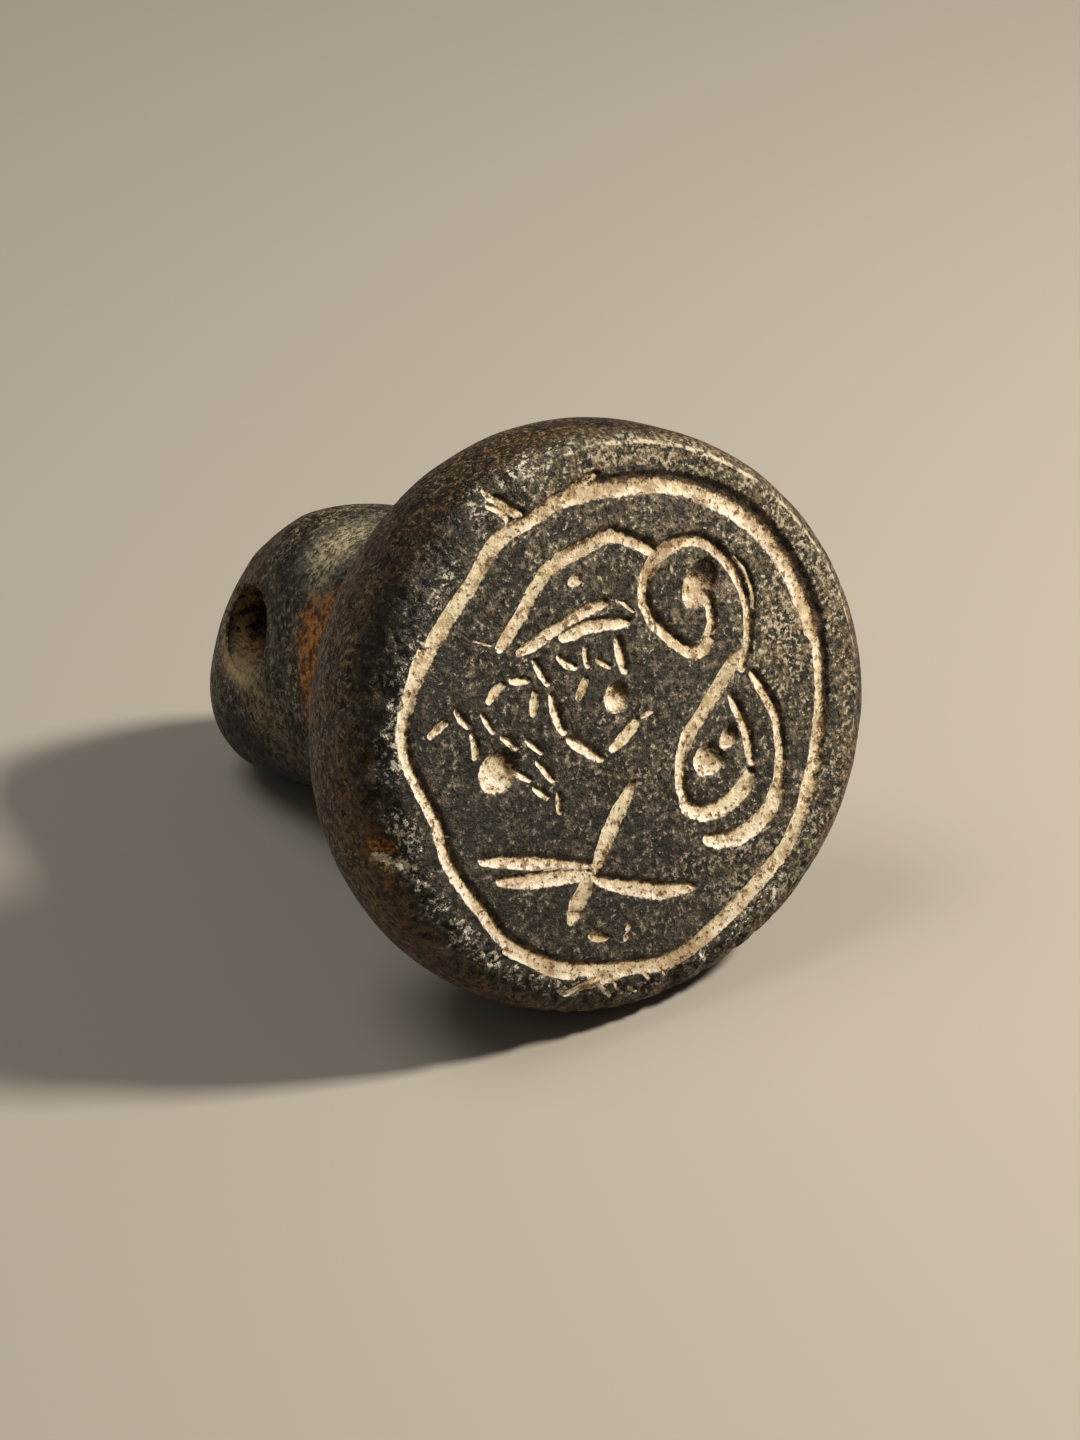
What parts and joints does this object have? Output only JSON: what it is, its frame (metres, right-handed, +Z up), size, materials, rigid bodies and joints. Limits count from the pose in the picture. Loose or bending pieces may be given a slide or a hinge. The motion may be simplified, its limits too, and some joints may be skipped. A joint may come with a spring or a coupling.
{
  "type": "stamp seal matrix",
  "caption": "Worn stone stamp seal with a round engraved face, a rounded shoulder and an oval handle pierced for a cord.",
  "frame": {"origin": "middle of the box's underside, on the ground that the seal lies on", "axes": "+Z up; the engraved face looks to -Y and a little up, the handle points to +Y, +X to the right of the face"},
  "size_m": [0.0348, 0.0418, 0.0334],
  "materials": {
    "stone": "worn dark stone, matt, pale deposit in the cuts"
  },
  "bodies": {
    "root": {"seal_matrix": "stone"}
  },
  "joints": []
}
